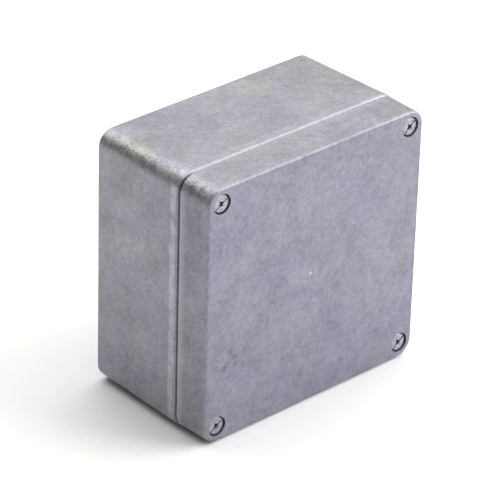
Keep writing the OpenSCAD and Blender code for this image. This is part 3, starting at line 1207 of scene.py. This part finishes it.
@dataclass
class TurnedScrew:
    """A screw with a turned head, a rolled thread and a cross recess, with or without a slot.

    Heights are measured from the underside of its head. The recess's reach is from tip to tip at the top.
    """

    length: float
    shoulder: float
    thread_radius: float
    neck_radius: float
    head_radius: float
    head_height: float
    head_edge: float
    pitch: float
    thread_depth: float
    tip_edge: float
    slot_width: float
    slot_depth: float
    cross_reach: float
    cross_width: float
    cross_depth: float

    def thread(self, t: ShapeTree) -> bpy.types.Node:
        """The threaded part of the shank.

        Args:
            t: The screw's tree.

        Returns:
            The closed mesh's node.
        """
        s = t.sizes
        low = -s.length
        run = s.length + s.shoulder
        rows_per_turn, end_rows, flank = 9, 3.0, 1.25
        rows = t.math("ROUND", run / s.pitch * rows_per_turn) + end_rows

        def section(row: Amount, share: Amount) -> bpy.types.Node:
            """Section of the thread, closed to the middle at its first and last row.

            Args:
                row: Number of the row.
                share: Share of the way round.

            Returns:
                The node with the distance outwards, 0 and the height.
            """
            last = rows - 1.0
            inside = t.least(t.least(row, last - row), 1.0)
            height = low + run * t.most(t.least((row - 1.0) / (last - 2.0), 1.0), 0.0)
            turn = t.math("FRACT", (height - low) / s.pitch - share)
            valley = t.least(flank * abs(2.0 * turn - 1.0), 1.0)
            fade = t.least((s.shoulder - height) / s.pitch, 1.0)
            crest = s.thread_radius - s.thread_depth * valley * fade
            tip = s.thread_radius - s.tip_edge + (height - low)
            return t.join(t.least(crest, tip) * inside, 0.0, height)

        return t.skin(Axis(t, THREAD_STEPS), rows, section)

    def cross(self, t: ShapeTree) -> bpy.types.Node:
        """The cross recess, with wings that narrow towards the bottom.

        Args:
            t: The screw's tree.

        Returns:
            The closed mesh's node.
        """
        s = t.sizes
        above = OVER / 2
        wing = t.block(s.cross_reach * 2, s.cross_width, s.cross_depth + above)
        raised = t.moved(wing, z=(above - s.cross_depth) / 2)
        wings = t.joined(raised, t.turned_to(raised, (0.0, 0.0, math.pi / 2)))
        half = s.cross_reach / 2
        spread = half * (1.0 + above / s.cross_depth / 2)
        cone = t.solid(Axis(t, RECESS_STEPS), [(half / 2, -s.cross_depth), (spread, above)])
        return t.moved(t.boolean("INTERSECT", {"Mesh 2": [wings, cone]}), z=s.head_height)

    def tree(self, name: str) -> ShapeTree:
        """The shape tree of the screw.

        Args:
            name: The tree's name.

        Returns:
            The tree.
        """
        t = ShapeTree(name, self)
        s = t.sizes
        top = s.head_height
        edge = s.head_edge
        neck_run, chamfer = 0.5, 0.15
        blank = t.solid(
            Axis(t, HEAD_STEPS),
            [(s.neck_radius, s.shoulder - neck_run), (s.neck_radius, 0.0)]
            + [(s.head_radius - chamfer, 0.0), (s.head_radius, chamfer)]
            + t.arc(s.head_radius - edge, top - edge, edge, *UPPER, 8),
        )
        slot = t.moved(t.block(s.head_radius * 4, s.slot_width, s.slot_depth * 2), z=top)
        tools = [slot, self.cross(t)] if self.slot_width else [self.cross(t)]
        t.close(t.cut(t.joined(blank, self.thread(t)), *tools))
        return t


@dataclass
class RetainingRing:
    """Open ring that keeps a lid screw in the lid."""

    middle_radius: float = 3.275
    width: float = 1.65
    thickness: float = 1.6
    edge: float = 0.2
    mouth: float = math.radians(52.0)

    def tree(self) -> ShapeTree:
        """The shape tree of the ring: a rounded section that follows an arc.

        Returns:
            The tree.
        """
        t = ShapeTree("retaining_ring_shape", self)
        s = t.sizes
        sweep = {"Resolution": ROUND_STEPS, 4: s.middle_radius, 5: s.mouth / 2, 6: math.tau - s.mouth}
        path = t.node("GeometryNodeCurveArc", sweep, mode="RADIUS")
        section = t.rounded(t.rectangle(s.width, s.thickness), s.edge, 3)
        inputs = {"Curve": path, "Profile Curve": section, "Fill Caps": True}
        swept = t.node("GeometryNodeCurveToMesh", inputs)
        t.close(t.moved(swept, z=s.thickness / 2))
        return t


@dataclass
class LidScrews:
    """The four captive lid screws with their retaining rings."""

    screw: TurnedScrew
    ring: RetainingRing

    def build(self, screw_finish: bpy.types.Material, ring_finish: bpy.types.Material) -> None:
        """Builds the screws and rings.

        Args:
            screw_finish: The screws' finish.
            ring_finish: The rings' finish.
        """
        screws = self.screw.tree("captive_screw_shape")
        rings = self.ring.tree()
        for number, ((side_x, side_y), turn) in enumerate(zip(SCREW_SIDES, SCREW_TURNS), 1):
            x, y = side_x * SCREW_AT, side_y * SCREW_AT
            screw = screws.make(f"captive_screw_{number}", screw_finish, (x, y, LEDGE), turn)
            enrol(screw, f"lid_screw_{number}", f"screw_{number}")
            ring = rings.make(f"retaining_ring_{number}", ring_finish, (x, y, RING_LOW))
            enrol(ring, f"screw_ring_{number}", f"ring_{number}")


# ---- earth terminals ------------------------------------------------------------------------


@dataclass
class ClampPlate:
    """Square plate with rounded corners that clamps an earth wire."""

    size: float = 11.0
    corner: float = 2.2
    thickness: float = 1.4
    edge: float = 0.2
    hole: float = 2.6

    def tree(self) -> ShapeTree:
        """The shape tree of the plate.

        Returns:
            The tree.
        """
        t = ShapeTree("clamp_plate_shape", self)
        s = t.sizes
        lower = t.arc(-s.edge, s.edge, s.edge, *LOWER, 3)
        upper = t.arc(-s.edge, s.thickness - s.edge, s.edge, *UPPER, 3)
        plate = t.solid(t.square(s.size, s.size, s.corner, 6), lower + upper)
        t.close(t.cut(plate, t.drum(s.hole, s.edge - OVER, s.thickness + OVER)))
        return t


@dataclass
class ToothedWasher:
    """Lock washer with twisted outer teeth."""

    outer: float = 4.8
    root: float = 3.9
    hole: float = 2.6
    thickness: float = 0.9
    blank: float = 0.6
    edge: float = 0.08
    rooted: float = 0.6
    teeth: int = 12
    twist: float = math.radians(14.0)

    def tree(self) -> ShapeTree:
        """The shape tree of the washer: a turned ring with teeth set round it.

        Returns:
            The tree.
        """
        t = ShapeTree("toothed_washer_shape", self)
        s = t.sizes
        middle = s.thickness / 2
        low, high = middle - s.blank / 2, middle + s.blank / 2
        ring = t.ring(Axis(t, ROUND_STEPS), t.band(s.hole, s.root, low, high, s.edge))
        length = s.outer - s.root + s.rooted
        tooth = t.block(length, s.root * math.tau / s.teeth / 2, s.blank)
        twisted = t.turned_to(tooth, t.join(s.twist, 0.0, 0.0))
        spots = t.node("GeometryNodeMeshCircle", {"Vertices": s.teeth, "Radius": s.outer - length / 2})
        heading = t.node("FunctionNodeEulerToRotation", {0: t.join(0.0, 0.0, t.index * math.tau / s.teeth)})
        inputs = {"Points": spots, "Instance": twisted, "Rotation": heading}
        teeth = t.node("GeometryNodeRealizeInstances", {0: t.node("GeometryNodeInstanceOnPoints", inputs)})
        t.close(t.joined(ring, t.moved(teeth, z=middle)))
        return t


@dataclass
class EarthTerminals:
    """The earth terminals of base and lid: a clamp plate, a toothed washer and a screw on each boss."""

    screw: TurnedScrew
    clamp: ClampPlate
    washer: ToothedWasher

    def build(self, finish: bpy.types.Material) -> None:
        """Builds both terminals.

        Args:
            finish: The zinc plated finish.
        """
        plate, washer = self.clamp.thickness, self.washer.thickness
        stack = {
            "clamp": (self.clamp.tree(), 0.0),
            "washer": (self.washer.tree(), plate),
            "screw": (self.screw.tree("earth_screw_shape"), plate + washer),
        }
        bosses = {
            "base": (EARTH_AT, FLOOR + EARTH_BOSS, 1, 0.0),
            "lid": (-EARTH_AT, LID_UNDER - EARTH_BOSS, -1, 180.0),
        }
        for body, (x, boss, way, tilt) in bosses.items():
            for kind, (tree, above) in stack.items():
                piece = tree.make(f"earth_{kind}_{body}", finish, (x, 0.0, boss + way * above), tilt=tilt)
                enrol(piece, f"{body}_earth_{kind}", body)


# ---- studio ---------------------------------------------------------------------------------


@dataclass(frozen=True)
class Softbox:
    """A square area lamp that looks at the box."""

    name: str
    place: Triple
    size: float
    power: float
    colour: Colour = (1, 1, 1)

    def build(self, aim: Vector) -> None:
        """Hangs the lamp.

        Args:
            aim: The point that it looks at.
        """
        data = bpy.data.lights.new(self.name, "AREA")
        data.shape = "SQUARE"
        data.size = self.size
        data.energy = self.power
        data.color = self.colour
        lamp = bpy.data.objects.new(self.name, data)
        lamp.location = self.place
        lamp.rotation_euler = (aim - Vector(self.place)).to_track_quat("-Z", "Y").to_euler()
        bpy.context.scene.collection.objects.link(lamp)


@dataclass
class Studio:
    """Pale floor, soft lamps, a pale room and the camera, in metres."""

    lamps: tuple[Softbox, ...] = (
        Softbox("key_box", (1.7, -1.4, 1.1), 2.0, 58.0, (1.0, 0.99, 1.0)),
        Softbox("top_box", (0.18, 0.35, 1.5), 2.2, 27.5, (1.0, 1.0, 0.97)),
    )
    zenith: float = 0.78
    horizon: float = 0.85
    left_share: float = 0.06
    eye: Triple = (-1.115851, -1.196120, 1.007619)
    aim: Triple = (-0.004352, 0.001852, 0.077186)
    roll: float = math.radians(1.669)
    lens: float = 242.29
    sensor: float = 36.0
    lamp_aim: Triple = (0.0, 0.0, 0.08)
    floor_half: float = 8.0

    def build(self) -> None:
        """Builds the whole studio."""
        self.lay_floor()
        self.light_room()
        for lamp in self.lamps:
            lamp.build(Vector(self.lamp_aim))
        self.set_camera()

    def lay_floor(self) -> None:
        """Lays the pale floor under the box."""
        half = self.floor_half
        corners = [(-half, -half, 0), (half, -half, 0), (half, half, 0), (-half, half, 0)]
        mesh = bpy.data.meshes.new("floor")
        mesh.from_pydata(corners, [], [(0, 1, 2, 3)])
        floor = bpy.data.objects.new("floor", mesh)
        mesh.materials.append(PaleSweep().material())
        bpy.context.scene.collection.objects.link(floor)

    def light_room(self) -> None:
        """Gives the room a soft glow, slightly dimmer overhead than at the horizon and dark on the left."""
        world = bpy.data.worlds.new("room")
        bpy.context.scene.world = world
        world.use_nodes = True
        w = Wiring(world.node_tree)
        across, _, height = w.split(w.node("ShaderNodeTexCoord").outputs["Generated"])
        glow = w.ramp(height, 0.0, 0.8, self.horizon, self.zenith)
        glow = glow * w.ramp(across, -0.9, 0.4, self.left_share, 1.0)
        background = world.node_tree.nodes["Background"]
        background.inputs["Color"].default_value = (1, 1, 1, 1)
        w.feed(background.inputs["Strength"], glow)

    def set_camera(self) -> None:
        """Sets up the camera."""
        data = bpy.data.cameras.new("camera")
        data.sensor_width = self.sensor
        data.lens = self.lens
        camera = bpy.data.objects.new("camera", data)
        turn = (Vector(self.aim) - Vector(self.eye)).to_track_quat("-Z", "Y").to_matrix().to_4x4()
        camera.matrix_world = Matrix.Translation(self.eye) @ turn @ Matrix.Rotation(self.roll, 4, "Z")
        bpy.context.scene.collection.objects.link(camera)
        bpy.context.scene.camera = camera
        bpy.context.scene.view_settings.view_transform = "Standard"


def main() -> None:
    """Builds the box and its studio."""
    cast = CastAluminium().material()
    CastBase().build(cast)
    CastLid().build(cast)
    CordSeal().build(SealRubber().material())
    m6 = TurnedScrew(
        length=28.0,
        shoulder=RING_LOW - LEDGE,
        thread_radius=3.0,
        neck_radius=2.4,
        head_radius=5.2,
        head_height=HEAD_HEIGHT,
        head_edge=0.6,
        pitch=1.0,
        thread_depth=0.6,
        tip_edge=0.7,
        slot_width=1.6,
        slot_depth=0.35,
        cross_reach=3.8,
        cross_width=1.4,
        cross_depth=2.4,
    )
    ring_finish = TurnedSteel("ring_steel", roughness=0.4).material()
    LidScrews(m6, RetainingRing()).build(TurnedSteel().material(), ring_finish)
    m5 = TurnedScrew(
        length=10.0,
        shoulder=0.0,
        thread_radius=2.5,
        neck_radius=2.0,
        head_radius=4.5,
        head_height=3.4,
        head_edge=1.2,
        pitch=0.8,
        thread_depth=0.48,
        tip_edge=0.7,
        slot_width=0.0,
        slot_depth=0.0,
        cross_reach=4.95,
        cross_width=1.3,
        cross_depth=2.04,
    )
    EarthTerminals(m5, ClampPlate(), ToothedWasher()).build(ZincPlate().material())
    Studio().build()


if __name__ == "__main__":
    main()
